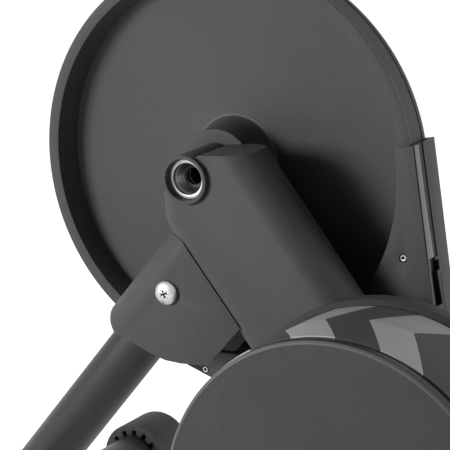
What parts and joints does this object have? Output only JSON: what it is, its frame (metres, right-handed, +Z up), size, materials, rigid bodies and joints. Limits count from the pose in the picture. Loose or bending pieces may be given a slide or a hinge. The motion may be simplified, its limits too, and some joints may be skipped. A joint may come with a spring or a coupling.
{
  "type": "direct drive bike trainer",
  "caption": "Direct drive bike trainer: a sloping arm carries a belt wheel on the axle and a drum flywheel, and stands on two legs with crossbars.",
  "frame": {"origin": "centre of the footprint on the floor", "axes": "+Z up, +Y along the wheel axle to the drive side, +X towards the flywheel end"},
  "size_m": [0.5358, 0.42, 0.5],
  "materials": {
    "graphite": "matte",
    "graphite_dark": "matte",
    "black_plastic": "matte",
    "belt_rubber": "matte",
    "steel": "satin",
    "iron": "matte",
    "copper": "satin",
    "board": "matte"
  },
  "bodies": {
    "frame": {"axle_sleeve": "graphite_dark", "brake_coil_1": "copper", "brake_coil_2": "copper", "brake_coil_3": "copper", "brake_coil_4": "copper", "brake_coil_5": "copper", "brake_coil_6": "copper", "brake_housing": "graphite_dark", "control_board": "board", "drive_belt": "belt_rubber", "drive_end_cap": "steel", "dropout_adapter": "steel", "freehub_bearing_inner": "steel", "freehub_bearing_outer": "steel", "front_cap_far": "black_plastic", "front_cap_near": "black_plastic", "front_crossbar": "graphite", "front_leg": "graphite", "front_socket": "graphite", "guard_cover": "graphite", "guard_pad_screw_1": "steel", "guard_pad_screw_2": "steel", "guard_screw_1": "steel", "guard_screw_2": "steel", "guard_shell": "graphite_dark", "housing_screw_1": "steel", "housing_screw_2": "steel", "housing_screw_3": "steel", "hub_axle": "steel", "idler_bracket": "steel", "idler_screw": "steel", "leg_bolt": "steel", "leg_bracket": "graphite", "leg_nut": "steel", "leg_washer": "steel", "main_arm": "graphite", "power_inlet": "black_plastic", "rear_cap_far": "black_plastic", "rear_cap_near": "black_plastic", "rear_crossbar": "graphite", "rear_leg": "graphite", "rear_socket": "graphite", "shaft_bearing_far": "steel", "shaft_bearing_near": "steel", "stator_core": "iron"},
    "flywheel": {"flywheel_drum": "graphite", "eddy_ring": "copper", "flywheel_shaft": "steel", "shaft_nut": "steel", "small_belt_wheel": "steel", "flywheel_cover": "graphite"},
    "drive_wheel_body": {"drive_wheel": "graphite", "hub_bearing_near": "steel", "hub_bearing_far": "steel"},
    "freehub": {"freehub_body": "steel"},
    "idler": {"idler_roller": "black_plastic"}
  },
  "joints": [
    {"name": "flywheel_spin", "type": "hinge", "parent": "frame", "child": "flywheel", "pos_m": [0.11489, 0.002, 0.1443], "axis": [0, 1, 0], "continuous": true},
    {"name": "drive_wheel_spin", "type": "hinge", "parent": "frame", "child": "drive_wheel_body", "pos_m": [-0.05352, 0.002, 0.345], "axis": [0, 1, 0], "continuous": true},
    {"name": "freehub_spin", "type": "hinge", "parent": "frame", "child": "freehub", "pos_m": [-0.05352, 0.039, 0.345], "axis": [0, 1, 0], "continuous": true},
    {"name": "idler_spin", "type": "hinge", "parent": "frame", "child": "idler", "pos_m": [0.00707, 0.002, 0.17597], "axis": [0, 1, 0], "continuous": true}
  ],
  "couplings": [
    {"joint": "drive_wheel_spin", "follows": "flywheel_spin", "ratio": 0.10845},
    {"joint": "idler_spin", "follows": "flywheel_spin", "ratio": 1.65}
  ]
}
